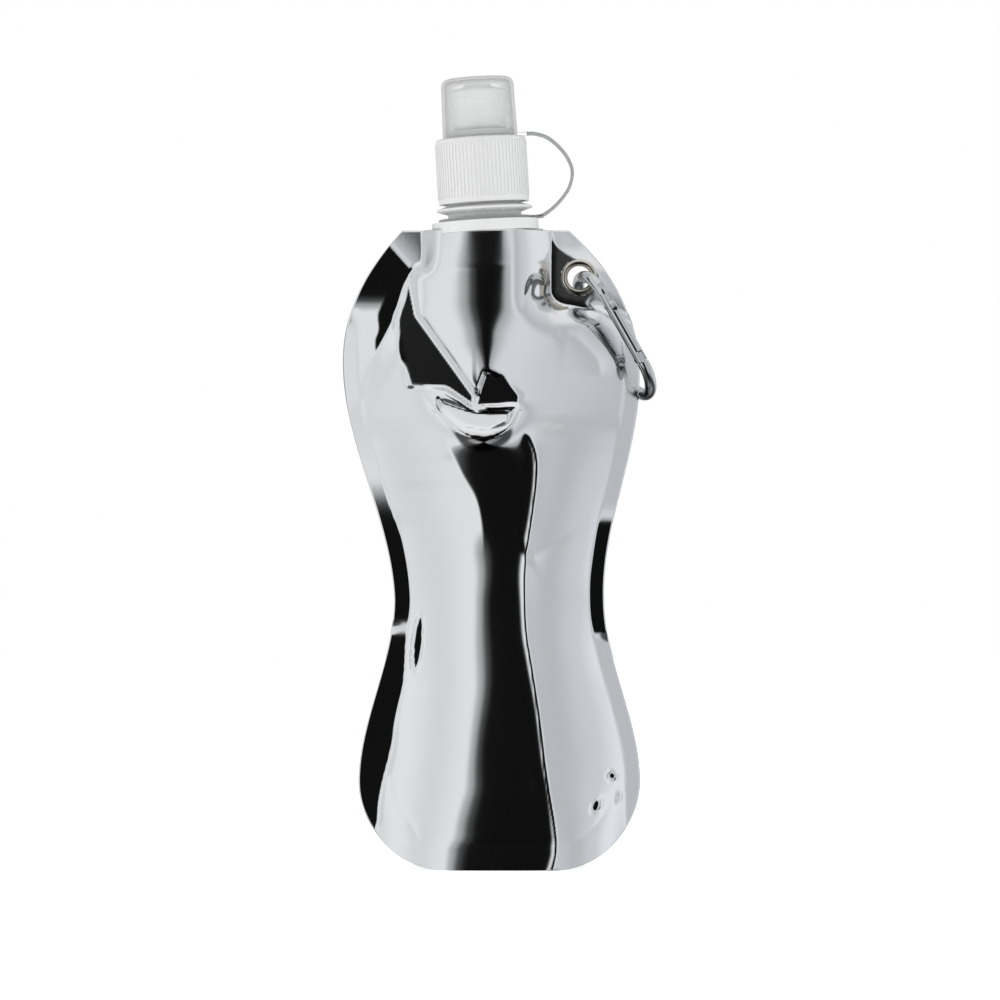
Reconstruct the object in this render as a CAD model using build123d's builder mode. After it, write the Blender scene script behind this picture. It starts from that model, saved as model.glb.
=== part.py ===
"""Folding water bottle: a welded film pouch with a screw-on sports cap, an eyelet and a snap hook.

Millimetres. +Z is up and +X is to the right seen from the front, which faces -Y. The origin is the
centre of the foot, on the surface that the bottle stands on. The pouch is a front and a back film panel
welded along their rim, with a folded gusset welded into the foot. Each panel is cut at the waist crease,
where the empty bottle folds in half.
"""

import os
from math import asin, cos, degrees, radians, sin, sqrt, tan

from build123d import *

os.makedirs("parts", exist_ok=True)

# ---------------------------------------------------------------- pouch film
film_t = 0.35  # thickness of one laminate panel
seam_w = 5.0  # width of the welded rim
foot_half = 17.6  # half the straight part of the bottom edge
hip_z, hip_half = 28.5, 47.2
waist_z, waist_half = 89.5, 35.2
chest_z, chest_half = 166.5, 49.6
neck_shift = -3.85  # how far the film leans sideways between the waist and the shoulder
foot_depth = 22.0  # half depths of the standing pouch
waist_depth = 12.5
chest_depth = 15.0
chest_depth_drop = 10.0  # the chest is deepest this far under its widest place
corner_rise, corner_inset = 17.0, 10.1  # from the chest to where the chamber turns in under the ears
fold_gap = 0.4  # gap between the upper and the lower film parts at the crease

# ---------------------------------------------------------------- gusset
gusset_weld_z = 9.7  # top of the foot weld
gusset_rise = 10.3  # from there to the crest of the folded gusset

# ---------------------------------------------------------------- spout, in its own leaning frame
spout_lean = 3.3  # degrees, towards -X
spout_z = 201.5  # underside of the welded base
neck_r = 12.3
neck_wall = 1.7
bore_r = neck_r - neck_wall
boat_h = 11.1
boat_fit = 0.05  # between the base and the film round it
boat_tip_fit = 0.3  # the same at the pointed ends
flange_r, flange_h = neck_r + 5.5, 3.6
boat_half, boat_depth = flange_r + 2.1, bore_r + 2.6  # half width and depth of the film round the base
film_stop = 0.7  # the film ends this far below the top of the base
ring_room = 2.6  # between the flange and the collar
collar_z, collar_r, collar_h = boat_h + flange_h + ring_room, neck_r + 3.7, 3.0  # transfer ring under the cap
collar_edge = 0.7  # thickness at its rim
thread_pitch = 3.2
thread_depth, thread_clearance = 1.2, 0.2
thread_root_w, thread_crest_w = 1.4, 0.7
thread_sink = 0.2  # how far a thread reaches into the wall that carries it
neck_thread_turns = 1.9

# ---------------------------------------------------------------- ears of the film, beside the spout
shoulder_z, shoulder_half = spout_z + 1.0, chest_half - 12.4
ear_z, ear_half = spout_z + 12.0, boat_half + 8.3  # top edge of the two ears, measured from the spout axis
ear_weld_z, ear_weld_half = spout_z - 8.0, boat_half + 3.6

# ---------------------------------------------------------------- screw cap
cap_z, cap_h = collar_z + collar_h + 0.5, 21.8  # lower rim above the underside of the base, and height
cap_wall, cap_deck = 1.4, 1.6
cap_r = neck_r + thread_depth + thread_clearance + cap_wall
cap_round = 1.0
cap_rib_count, cap_rib_h, cap_rib_w = 72, 0.25, 0.6
cap_rib_end = 1.6  # the ribs stop this far from either end
neck_thread_z = cap_z + 9.2
cap_thread_lead, cap_thread_turns = 1.5, 1.5  # in turns below the neck's thread
liner_t = 1.1
liner_fit = 0.3
boss_h, boss_wall = 2.5, 1.6
boss_clearance = 0.07  # inside the dust cover
contact_gap = 0.05  # between faces that rest on each other across a joint

# ---------------------------------------------------------------- nozzle and dust cover
post_r, post_wall = 7.0, 1.6
running_fit = 0.05  # radial clearance of the sliding and turning fits
nozzle_wall, nozzle_h = 1.95, 16.0
nozzle_r = post_r + running_fit + nozzle_wall
nozzle_lip_r, nozzle_lip_h = nozzle_r + 0.5, 2.4
nozzle_tip_r, nozzle_tip_h = 4.3, 1.9
nozzle_tip_round = 0.8
nozzle_roof = 2.0
post_h = nozzle_h - 6.5
spoke_count, spoke_w, spoke_t = 3, 1.6, 1.8
plug_r = 1.9
seal_r = 0.53  # section radius of the O-ring round the post
seal_height = 5.5  # above the cap's deck
seal_groove_w = 1.2
cover_wall, cover_gap, cover_headroom = 1.0, 2.05, 1.2
cover_r = nozzle_lip_r + cover_gap + cover_wall
cover_h = nozzle_h + nozzle_tip_h + cover_headroom + cover_wall
cover_draft = 0.45  # how much narrower the cover is at its top
cover_round = 2.6
strap_w, strap_t = 3.6, 1.1
strap_reach = cap_r + 14.7  # outermost part of the loop, from the spout axis
strap_corner_r = 6.5
strap_bow = 1.5  # the loop's corners stand this far inside its outermost part
strap_gap = 0.4  # between the cover's tab and the strap
ring_w, ring_t = 2.9, 1.1
ring_clearance = 0.2
tab_end = cap_r + 4.5  # where the ring's tab ends and the strap begins
cover_tab_end = cap_r + 0.9  # reaches past the screw cap

# ---------------------------------------------------------------- snap hook
hook_len, hook_w, wire_d = 48.8, 23.0, 4.0
hook_overhang = 1.23  # its lower bend hangs this far outside the widest film
hook_roll = 22.0  # degrees about its own length, front leg outwards
hook_forward = 0.3  # its centre line stands this far in front of the film
hook_shift = 0.8  # centre of the top bend's wire from the eyelet's centre, along +X
hinge_u = wire_d + 9.0  # gate hinge below the centre of the top bend's wire
gate_top_u, gate_end_u = hinge_u - 4.0, hook_len - 14.2
gate_clearance = 0.15
gate_sweep = 1.6  # how much wider than the wire the opening is cut
nose_gap = 0.3
slot_w, tang_t = 2.0, 1.8
tang_half = 1.6
tang_end_r = 1.9
slot_past_pin = 2.4
tongue_len, tongue_clearance = 3.2, 0.4
pin_r, pin_press = 0.75, 0.02
catch_r, catch_back, catch_offset = 0.6, 1.3, 0.95
plunger_r, plunger_len, plunger_tip_r, plunger_gap = 1.1, 3.2, 0.8, 0.12
plunger_neck = 0.2  # the tip's length inside the bore
gate_bore_r, gate_bore_len = 1.3, 11.0
spring_coil_r, spring_wire_r, spring_turns = 0.95, 0.14, 8

# ---------------------------------------------------------------- eyelet
eyelet_x, eyelet_z = boat_half + 6.9, spout_z - 4.2
hook_angle = degrees(asin((chest_half + hook_overhang - eyelet_x) / hook_len))  # from straight down
eyelet_room = 1.9  # between the hook's wire and the hole, on the radius
eyelet_hole_r = wire_d / 2 + eyelet_room
eyelet_r = eyelet_hole_r + 2.2
eyelet_bead_h = 0.8
eyelet_tube_t = 0.35
eyelet_roll_r, eyelet_roll_t = eyelet_hole_r + 1.2, 0.4
washer_t = 0.4
punch_clearance = 0.1
stack_gap = 0.02  # between the eyelet's pieces and the film


def smooth(t):
    """Cubic ease from 0 to 1."""
    return t * t * (3 - 2 * t)


def between(stations, z):
    """Value at height z of a curve that eases from one (z, value) station to the next."""
    if z <= stations[0][0]:
        return stations[0][1]
    for (z0, v0), (z1, v1) in zip(stations, stations[1:]):
        if z <= z1:
            return v0 + (v1 - v0) * smooth((z - z0) / (z1 - z0))
    return stations[-1][1]


def lean(z):
    """Sideways place of the film's centre line at height z."""
    if z <= waist_z:
        return 0.0
    if z <= spout_z:
        return neck_shift * (z - waist_z) / (spout_z - waist_z)
    return neck_shift - (z - spout_z) * tan(radians(spout_lean))


chamber_corner_z, chamber_corner_half = chest_z + corner_rise, chest_half - corner_inset
gusset_crest_z = gusset_weld_z + gusset_rise
chamber_halves = [
    (hip_z, hip_half - seam_w),
    (waist_z, waist_half - seam_w),
    (chest_z, chest_half - seam_w),
    (chamber_corner_z, chamber_corner_half),
    (ear_weld_z, ear_weld_half),
    (spout_z, boat_half),
]
chamber_depths = [
    (hip_z, foot_depth),
    (waist_z, waist_depth),
    (chest_z - chest_depth_drop, chest_depth),
    (spout_z, boat_depth),
]
section_heights = [
    -1.0,
    hip_z,
    (hip_z + waist_z) / 2,
    waist_z,
    (waist_z + chest_z) / 2,
    chest_z,
    (chest_z + chamber_corner_z) / 2,
    chamber_corner_z,
    (chamber_corner_z + ear_weld_z) / 2,
    ear_weld_z,
    (ear_weld_z + spout_z) / 2,
    spout_z,
    ear_z + 2.0,
]


def chamber(inset):
    """The pouch's inside and its film down to inset under the outer face, as one closed solid."""
    with BuildPart() as core:
        for z in section_heights:
            half = between(chamber_halves, z) - inset
            depth = between(chamber_depths, z) - inset
            with BuildSketch(Plane.XY.offset(z)):
                with BuildLine():
                    x = lean(z)
                    ThreePointArc((x - half, 0), (x, -depth), (x + half, 0))
                    ThreePointArc((x + half, 0), (x, depth), (x - half, 0))
                make_face()
        loft(ruled=True)
    return core.part


spout_frame = Plane(
    origin=(neck_shift, 0, spout_z),
    x_dir=(cos(radians(spout_lean)), 0, sin(radians(spout_lean))),
    z_dir=(-sin(radians(spout_lean)), 0, cos(radians(spout_lean))),
)


def spout_point(r, s):
    """Frame point at distance r to the right of the spout axis and height s along it."""
    point = spout_frame.from_local_coords(Vector(r, 0, s))
    return point.X, point.Z


def outline_side(side):
    """Edge of the flat film from the foot to the ear, on one side, as lines in the XZ plane."""

    def at(half, z):
        return lean(min(z, spout_z)) + side * half, z

    def ease(half0, z0, half1, z1):
        third = (z1 - z0) / 3
        return Bezier(at(half0, z0), at(half0, z0 + third), at(half1, z1 - third), at(half1, z1))

    slope = (ear_half - shoulder_half, ear_z - shoulder_z)
    hip = (side * hip_half, hip_z)
    Bezier((side * foot_half, 0), (side * 2 * foot_half, 0), (side * hip_half, hip_z / 2), hip)
    ease(hip_half, hip_z, waist_half, waist_z)
    ease(waist_half, waist_z, chest_half, chest_z)
    Bezier(
        at(chest_half, chest_z),
        at(chest_half, chest_z + 0.43 * (shoulder_z - chest_z)),
        at(shoulder_half - 0.6 * slope[0], shoulder_z - 0.6 * slope[1]),
        at(shoulder_half, shoulder_z),
    )
    return at(shoulder_half, shoulder_z)


notch_half = boat_half + 0.8
notch_s = boat_h - film_stop
with BuildSketch(Plane.XZ) as outline:
    with BuildLine():
        ends = {}
        for side in (-1, 1):
            ends[side] = outline_side(side)
            Line(ends[side], (neck_shift + side * ear_half, ear_z))
        Line((-foot_half, 0), (foot_half, 0))
        notch = [spout_point(side * notch_half, notch_s) for side in (-1, 1)]
        Polyline(
            (neck_shift - ear_half, ear_z),
            (notch[0][0], ear_z),
            notch[0],
            notch[1],
            (notch[1][0], ear_z),
            (neck_shift + ear_half, ear_z),
        )
    make_face()

with BuildPart() as outline_prism:
    with BuildSketch(Plane.XZ):
        add(outline.sketch)
    extrude(amount=3 * foot_depth, both=True)

outer_core = chamber(0)
inner_core = chamber(film_t)
flange_core = chamber(2 * film_t)

eyelet_frame = Plane(origin=(eyelet_x, 0, eyelet_z), x_dir=(1, 0, 0), z_dir=(0, -1, 0))
punch_r = eyelet_hole_r + eyelet_tube_t + punch_clearance

with BuildPart() as film:
    with BuildSketch(Plane.XZ):
        add(outline.sketch)
    extrude(amount=film_t, both=True)
    add(outer_core)
    add(inner_core, mode=Mode.SUBTRACT)
    add(outline_prism.part, mode=Mode.INTERSECT)
    with Locations(eyelet_frame):
        Cylinder(punch_r, 8 * film_t, mode=Mode.SUBTRACT)


def half_film(keep_front, keep_top):
    """One quarter of the film: the front or the back panel, above or below the waist crease."""
    crease = Plane.XY.offset(waist_z + (fold_gap / 2 if keep_top else -fold_gap / 2))
    with BuildPart() as quarter:
        add(film.part)
        split(bisect_by=Plane.XZ, keep=Keep.TOP if keep_front else Keep.BOTTOM)
        split(bisect_by=crease, keep=Keep.TOP if keep_top else Keep.BOTTOM)
    return quarter.part


with BuildPart() as front_panel_upper:
    add(half_film(True, True))
with BuildPart() as front_panel_lower:
    add(half_film(True, False))
with BuildPart() as back_panel_upper:
    add(half_film(False, True))
with BuildPart() as back_panel_lower:
    add(half_film(False, False))


def under_gusset(drop):
    """Everything under the gusset's arch, lowered by drop."""
    with BuildPart() as below:
        with BuildSketch(Plane.YZ):
            with BuildLine():
                ThreePointArc(
                    (-foot_depth, gusset_weld_z - drop),
                    (0, gusset_crest_z - drop),
                    (foot_depth, gusset_weld_z - drop),
                )
                Polyline(
                    (foot_depth, gusset_weld_z - drop),
                    (foot_depth, -2.0),
                    (-foot_depth, -2.0),
                    (-foot_depth, gusset_weld_z - drop),
                )
            make_face()
        extrude(amount=hip_half, both=True)
    return below.part


with BuildPart() as gusset_hollow:
    add(under_gusset(film_t))
    add(flange_core, mode=Mode.INTERSECT)
with BuildPart() as bottom_gusset:
    add(under_gusset(0))
    add(inner_core, mode=Mode.INTERSECT)
    add(gusset_hollow.part, mode=Mode.SUBTRACT)
    add(outline_prism.part, mode=Mode.INTERSECT)

# ---------------------------------------------------------------- spout
cap_top = cap_z + cap_h
neck_top = cap_top - cap_deck - liner_t - 2 * contact_gap
flange_top = boat_h + flange_h
cap_bore_r = cap_r - cap_wall


def thread(radius, root_side, start, turns):
    """Helical rib on a wall of the given radius; root_side is +1 where the wall lies outside the thread."""
    root, crest = radius + root_side * thread_sink, radius - root_side * thread_depth
    with BuildPart() as rib:
        with BuildLine():
            Helix(thread_pitch, thread_pitch * turns, radius, center=(0, 0, start))
        with BuildSketch(Plane.XZ):
            with BuildLine():
                Polyline(
                    (root, start - thread_root_w / 2),
                    (crest, start - thread_crest_w / 2),
                    (crest, start + thread_crest_w / 2),
                    (root, start + thread_root_w / 2),
                    close=True,
                )
            make_face()
        sweep(is_frenet=True)
    return rib.part


with BuildPart() as spout:
    with BuildSketch():
        with BuildLine():
            half = boat_half - film_t - boat_tip_fit
            depth = boat_depth - film_t - boat_fit
            ThreePointArc((-half, 0), (0, -depth), (half, 0))
            ThreePointArc((half, 0), (0, depth), (-half, 0))
        make_face()
    extrude(amount=boat_h)
    with BuildSketch(Plane.XZ):
        with BuildLine():
            Polyline(
                (0, boat_h),
                (flange_r, boat_h),
                (flange_r, flange_top),
                (neck_r, flange_top),
                (neck_r, collar_z),
                (collar_r, collar_z + collar_h / 2 - collar_edge / 2),
                (collar_r, collar_z + collar_h / 2 + collar_edge / 2),
                (neck_r, collar_z + collar_h),
                (neck_r, neck_top),
                (0, neck_top),
                close=True,
            )
        make_face()
    revolve(axis=Axis.Z)
    add(thread(neck_r, -1, neck_thread_z, neck_thread_turns))
    with Locations((0, 0, neck_top / 2)):
        Cylinder(bore_r, neck_top + 2, mode=Mode.SUBTRACT)

ring_z = flange_top + contact_gap
with BuildPart() as tether_ring:
    with BuildSketch(Plane.XY.offset(ring_z)):
        Circle(neck_r + ring_clearance + ring_w)
        with Locations((tab_end / 2, 0)):
            Rectangle(tab_end, strap_w)
        Circle(neck_r + ring_clearance, mode=Mode.SUBTRACT)
    extrude(amount=ring_t)

cover_z = cap_top + contact_gap
with BuildPart() as tether_strap:
    low, high = ring_z + ring_t / 2, cover_z + ring_t / 2
    with BuildLine(Plane.XZ) as strap_path:
        FilletPolyline(
            (tab_end, low),
            (strap_reach - strap_bow, low + 1.0),
            (strap_reach, (low + high) / 2),
            (strap_reach - strap_bow, high - 0.4),
            (cover_tab_end + strap_gap, high),
            radius=[strap_corner_r, 2 * strap_corner_r, strap_corner_r],
        )
    with BuildSketch(Plane(origin=(tab_end, 0, low), x_dir=(0, 1, 0), z_dir=strap_path.line % 0)):
        Rectangle(strap_w, strap_t)
    sweep()

# ---------------------------------------------------------------- screw cap, liner and seal
with BuildPart() as screw_cap:
    with BuildSketch(Plane.XZ):
        with BuildLine():
            Polyline((0, cap_z), (cap_r, cap_z), (cap_r, cap_top), (0, cap_top), close=True)
        make_face()
    revolve(axis=Axis.Z)
    fillet(edges().filter_by(GeomType.CIRCLE).group_by(Axis.Z)[-1], cap_round)
    with BuildSketch(Plane.XY.offset(cap_z + cap_rib_end)):
        with PolarLocations(cap_r, cap_rib_count):
            Rectangle(2 * cap_rib_h, cap_rib_w)
    extrude(amount=cap_h - 2 * cap_rib_end)
    boss_r = cover_r - cover_wall - boss_clearance
    with BuildSketch(Plane.XY.offset(cap_top)):
        Circle(boss_r)
        Circle(boss_r - boss_wall, mode=Mode.SUBTRACT)
    extrude(amount=boss_h)
    with BuildSketch(Plane.XY.offset(cap_z)):
        Circle(cap_bore_r)
    extrude(amount=cap_h - cap_deck, mode=Mode.SUBTRACT)
    with BuildSketch(Plane.XY.offset(cap_top)):
        Circle(post_r)
    extrude(amount=post_h)
    with BuildSketch(Plane.XY.offset(cap_z)):
        Circle(post_r - post_wall)
    extrude(amount=cap_h + post_h, mode=Mode.SUBTRACT)
    with BuildSketch(Plane.XY.offset(cap_top + post_h - spoke_t)):
        with PolarLocations((post_r - post_wall) / 2, spoke_count):
            Rectangle(post_r - post_wall + post_wall / 2, spoke_w)
    extrude(amount=spoke_t)
    plug_top = cap_top + nozzle_h + nozzle_tip_h - 2 * contact_gap
    with BuildSketch(Plane.XY.offset(cap_top + post_h - spoke_t)):
        Circle(plug_r)
    extrude(amount=plug_top - cap_top - post_h + spoke_t)
    with BuildSketch(Plane.XY.offset(cap_top + seal_height - seal_groove_w / 2)):
        Circle(post_r + 1)
        Circle(post_r - 2 * seal_r - stack_gap, mode=Mode.SUBTRACT)
    extrude(amount=seal_groove_w, mode=Mode.SUBTRACT)
    cap_thread_z = neck_thread_z - cap_thread_lead * thread_pitch
    add(thread(cap_bore_r, 1, cap_thread_z, cap_thread_turns))

with BuildPart() as cap_liner:
    with BuildSketch(Plane.XY.offset(neck_top + contact_gap)):
        Circle(cap_bore_r - liner_fit)
        Circle(post_r - post_wall + liner_fit, mode=Mode.SUBTRACT)
    extrude(amount=liner_t)

with BuildPart() as nozzle_seal:
    with BuildSketch(Plane.XZ):
        with Locations((post_r - seal_r, cap_top + seal_height)):
            Circle(seal_r)
    revolve(axis=Axis.Z)

# ---------------------------------------------------------------- nozzle and dust cover
with BuildPart() as nozzle:
    with BuildSketch(Plane.XZ):
        with BuildLine():
            shoulder = cover_z + nozzle_h
            Polyline(
                (post_r + running_fit, cover_z),
                (nozzle_r, cover_z),
                (nozzle_r, shoulder - nozzle_lip_h - (nozzle_lip_r - nozzle_r)),
                (nozzle_lip_r, shoulder - nozzle_lip_h),
                (nozzle_lip_r, shoulder - nozzle_lip_h / 4),
                (nozzle_lip_r - nozzle_lip_h / 4, shoulder),
                (nozzle_tip_r + nozzle_tip_round, shoulder + nozzle_tip_h / 2),
                (nozzle_tip_r, shoulder + nozzle_tip_h),
                (plug_r + running_fit, shoulder + nozzle_tip_h),
                (plug_r + running_fit, shoulder - nozzle_roof),
                (post_r + running_fit, shoulder - nozzle_roof),
                close=True,
            )
        make_face()
    revolve(axis=Axis.Z)

with BuildPart() as dust_cover:
    with BuildSketch(Plane.XZ):
        with BuildLine():
            top_r, cover_top = cover_r - cover_draft, cover_z + cover_h
            Polyline((0, cover_z), (cover_r, cover_z), (top_r, cover_top), (0, cover_top), close=True)
        make_face()
        rim = vertices().group_by(Axis.Y)[-1].sort_by(Axis.X)[-1]
        fillet(rim, cover_round)
    revolve(axis=Axis.Z)
    with BuildSketch(Plane.XY.offset(cover_z)):
        with Locations((cover_tab_end / 2, 0)):
            Rectangle(cover_tab_end, strap_w)
    extrude(amount=ring_t)
    with BuildSketch(Plane.XZ):
        with BuildLine():
            Polyline(
                (0, cover_z),
                (cover_r - cover_wall, cover_z),
                (top_r - cover_wall, cover_top - cover_wall),
                (0, cover_top - cover_wall),
                close=True,
            )
        make_face()
        rim = vertices().group_by(Axis.Y)[-1].sort_by(Axis.X)[-1]
        fillet(rim, cover_round - cover_wall)
    revolve(axis=Axis.Z, mode=Mode.SUBTRACT)

# ---------------------------------------------------------------- eyelet, upright here: Z is the way through
film_face = film_t + stack_gap
tube_r = eyelet_hole_r + eyelet_tube_t
with BuildPart() as eyelet_barrel:
    with BuildSketch(Plane.XZ):
        with BuildLine():
            bead_r = (eyelet_hole_r + eyelet_r) / 2
            bead_top = (bead_r, film_face + eyelet_bead_h)
            ThreePointArc((eyelet_hole_r, film_face), bead_top, (eyelet_r, film_face))
            back = -film_face - washer_t - 2 * stack_gap
            Polyline(
                (eyelet_r, film_face),
                (tube_r, film_face),
                (tube_r, back),
                (eyelet_roll_r, back),
                (eyelet_roll_r, back - eyelet_roll_t),
                (eyelet_hole_r + eyelet_roll_t, back - eyelet_roll_t),
                (eyelet_hole_r, back),
                (eyelet_hole_r, film_face),
            )
        make_face()
    revolve(axis=Axis.Z)

with BuildPart() as eyelet_washer:
    with BuildSketch(Plane.XY.offset(-film_face - stack_gap - washer_t)):
        Circle(eyelet_r)
        Circle(tube_r + stack_gap, mode=Mode.SUBTRACT)
    extrude(amount=washer_t)

# ---------------------------------------------------------------- snap hook
# In its own frame X runs down the hook, Y from the gate to the spine and Z along the hinge pin.
bend_r = (hook_w - wire_d) / 2
wire_r = wire_d / 2
spine_end = hook_len - wire_d - bend_r
down = Vector(sin(radians(hook_angle)), 0, -cos(radians(hook_angle)))
side = Vector(cos(radians(hook_angle)), 0, sin(radians(hook_angle)))
back_way = Vector(0, 1, 0)
hook_frame = Plane(
    origin=(eyelet_x + hook_shift, -hook_forward, eyelet_z),
    x_dir=down,
    z_dir=side * cos(radians(hook_roll)) + back_way * sin(radians(hook_roll)),
)
pin_place = (hinge_u, -bend_r)
catch_place = (gate_end_u - catch_back, -bend_r + catch_offset)

with BuildPart() as carabiner_body:
    with BuildLine() as hook_path:
        Line((bend_r + 1, -bend_r), (bend_r, -bend_r))
        ThreePointArc((bend_r, -bend_r), (0, 0), (bend_r, bend_r))
        Line((bend_r, bend_r), (spine_end, bend_r))
        ThreePointArc((spine_end, bend_r), (spine_end + bend_r, 0), (spine_end, -bend_r))
        Line((spine_end, -bend_r), (spine_end - 1, -bend_r))
    with BuildSketch(Plane(origin=hook_path.line @ 0, z_dir=hook_path.line % 0)):
        Circle(wire_r)
    sweep()
    gate_space = gate_end_u + nose_gap - hinge_u
    with BuildSketch(Plane.XY.offset(-wire_d)):
        with Locations((hinge_u + gate_space / 2, -bend_r)):
            Rectangle(gate_space, wire_d + gate_sweep)
        corner_r = sqrt((hinge_u - gate_top_u) ** 2 + wire_r**2)
        with Locations(pin_place):
            Circle(corner_r + gate_clearance)
    extrude(amount=2 * wire_d, mode=Mode.SUBTRACT)
    with BuildSketch(Plane.XY.offset(-tang_t / 2)):
        with Locations(((hinge_u + bend_r / 2) / 2, -bend_r)):
            Rectangle(hinge_u - bend_r / 2, 2 * tang_half)
        with Locations(pin_place):
            Circle(tang_end_r)
            Circle(pin_r + running_fit, mode=Mode.SUBTRACT)
        tongue_top = gate_end_u - tongue_len
        with Locations(((tongue_top + gate_end_u + 1) / 2, -bend_r)):
            Rectangle(gate_end_u + 1 - tongue_top, 2 * tang_half)
        notch = catch_r + gate_clearance
        with Locations(catch_place):
            Circle(notch, mode=Mode.SUBTRACT)
        with Locations((catch_place[0], catch_place[1] + tang_half)):
            Rectangle(2 * notch, 2 * tang_half, mode=Mode.SUBTRACT)
    extrude(amount=tang_t)

gate_plane = Plane(origin=(gate_top_u, -bend_r, 0), x_dir=(0, 1, 0), z_dir=(1, 0, 0))
with BuildPart() as carabiner_gate:
    with BuildSketch(gate_plane):
        Circle(wire_r)
    extrude(amount=gate_end_u - gate_top_u)
    slot_end = hinge_u + slot_past_pin
    tongue_slot = gate_end_u - tongue_len - tongue_clearance
    with BuildSketch(Plane.XY.offset(-slot_w / 2)):
        with Locations(((gate_top_u + slot_end) / 2, -bend_r)):
            Rectangle(slot_end - gate_top_u, wire_d + 1)
        with Locations(((tongue_slot + gate_end_u) / 2, -bend_r)):
            Rectangle(gate_end_u - tongue_slot, wire_d + 1)
    extrude(amount=slot_w, mode=Mode.SUBTRACT)
    with BuildSketch(gate_plane.offset(slot_end - gate_top_u)):
        Circle(gate_bore_r)
    extrude(amount=gate_bore_len, mode=Mode.SUBTRACT)
    with BuildSketch(Plane.XY.offset(-wire_d)):
        with Locations(pin_place):
            Circle(pin_r + pin_press)
        with Locations(catch_place):
            Circle(catch_r + pin_press)
    extrude(amount=2 * wire_d, mode=Mode.SUBTRACT)

with BuildPart() as gate_hinge_pin:
    with BuildSketch(Plane.XY.offset(-wire_r)):
        with Locations(pin_place):
            Circle(pin_r)
    extrude(amount=wire_d)

with BuildPart() as gate_catch_pin:
    reach = sqrt(wire_r**2 - catch_offset**2)
    with BuildSketch(Plane.XY.offset(-reach)):
        with Locations(catch_place):
            Circle(catch_r)
    extrude(amount=2 * reach)

plunger_tip = hinge_u + tang_end_r + plunger_gap - gate_top_u
with BuildPart() as gate_plunger:
    with BuildSketch(gate_plane.offset(plunger_tip)):
        Circle(plunger_tip_r)
    extrude(amount=slot_end - gate_top_u - plunger_tip + plunger_neck)
    with BuildSketch(gate_plane.offset(slot_end - gate_top_u + plunger_neck)):
        Circle(plunger_r)
    extrude(amount=plunger_len)

with BuildPart() as gate_spring:
    spring_start = slot_end + plunger_neck + plunger_len + spring_wire_r + stack_gap
    spring_len = slot_end + gate_bore_len - spring_start - spring_wire_r - stack_gap
    spring_dir = (1, 0, 0)
    with BuildLine() as coil:
        Helix(
            spring_len / spring_turns,
            spring_len,
            spring_coil_r,
            center=(spring_start, -bend_r, 0),
            direction=spring_dir,
        )
    with BuildSketch(Plane(origin=coil.line @ 0, z_dir=coil.line % 0)):
        Circle(spring_wire_r)
    sweep()

# ---------------------------------------------------------------- place, name and write every piece
placed = {
    None: {
        "front_panel_upper": front_panel_upper,
        "front_panel_lower": front_panel_lower,
        "back_panel_upper": back_panel_upper,
        "back_panel_lower": back_panel_lower,
        "bottom_gusset": bottom_gusset,
    },
    spout_frame: {
        "spout": spout,
        "tether_ring": tether_ring,
        "tether_strap": tether_strap,
        "screw_cap": screw_cap,
        "cap_liner": cap_liner,
        "nozzle_seal": nozzle_seal,
        "nozzle": nozzle,
        "dust_cover": dust_cover,
    },
    eyelet_frame: {
        "eyelet_barrel": eyelet_barrel,
        "eyelet_washer": eyelet_washer,
    },
    hook_frame: {
        "carabiner_body": carabiner_body,
        "carabiner_gate": carabiner_gate,
        "gate_hinge_pin": gate_hinge_pin,
        "gate_catch_pin": gate_catch_pin,
        "gate_plunger": gate_plunger,
        "gate_spring": gate_spring,
    },
}
for frame, pieces in placed.items():
    for name, piece in pieces.items():
        if frame is not None:
            piece.part.locate(frame.location)
        piece.part.label = name
        export_step(piece.part, f"parts/{name}.step")
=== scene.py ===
import math

import bmesh
import bpy
import numpy as np
from mathutils import Matrix, Vector


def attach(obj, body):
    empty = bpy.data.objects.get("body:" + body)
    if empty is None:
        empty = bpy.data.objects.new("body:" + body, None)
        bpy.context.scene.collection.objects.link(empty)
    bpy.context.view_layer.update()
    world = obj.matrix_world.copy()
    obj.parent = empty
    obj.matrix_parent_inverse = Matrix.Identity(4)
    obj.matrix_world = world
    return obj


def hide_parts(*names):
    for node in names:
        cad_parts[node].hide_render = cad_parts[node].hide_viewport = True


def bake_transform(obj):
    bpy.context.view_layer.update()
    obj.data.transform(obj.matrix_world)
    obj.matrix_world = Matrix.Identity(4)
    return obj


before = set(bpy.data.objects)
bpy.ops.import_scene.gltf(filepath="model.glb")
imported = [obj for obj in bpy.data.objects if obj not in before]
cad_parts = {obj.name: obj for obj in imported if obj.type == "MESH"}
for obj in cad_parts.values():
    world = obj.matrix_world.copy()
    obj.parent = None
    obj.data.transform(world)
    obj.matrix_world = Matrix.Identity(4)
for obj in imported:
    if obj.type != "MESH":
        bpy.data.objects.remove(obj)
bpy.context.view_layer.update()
MM = 0.001

# ---------------------------------------------------------------- camera and studio
# A horizontal view of the front from 1.9 m away, between two large white lights that leave a dark
# gap behind the camera, so that the foil mirrors white at its sides and black down its middle.
frame_width = 335 * MM
view_height = 122.8 * MM
camera_distance = 1.9
camera_shift = 0.3 * MM
camera_data = bpy.data.cameras.new("camera")
camera_data.sensor_width = 36
camera_data.lens = 36 * camera_distance / frame_width
camera_data.clip_end = 20
camera = bpy.data.objects.new("camera", camera_data)
camera.location = (camera_shift, -camera_distance, view_height)
camera.rotation_euler = (math.pi / 2, 0, 0)
bpy.context.scene.collection.objects.link(camera)
bpy.context.scene.camera = camera
bpy.context.scene.view_settings.view_transform = "Standard"

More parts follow.
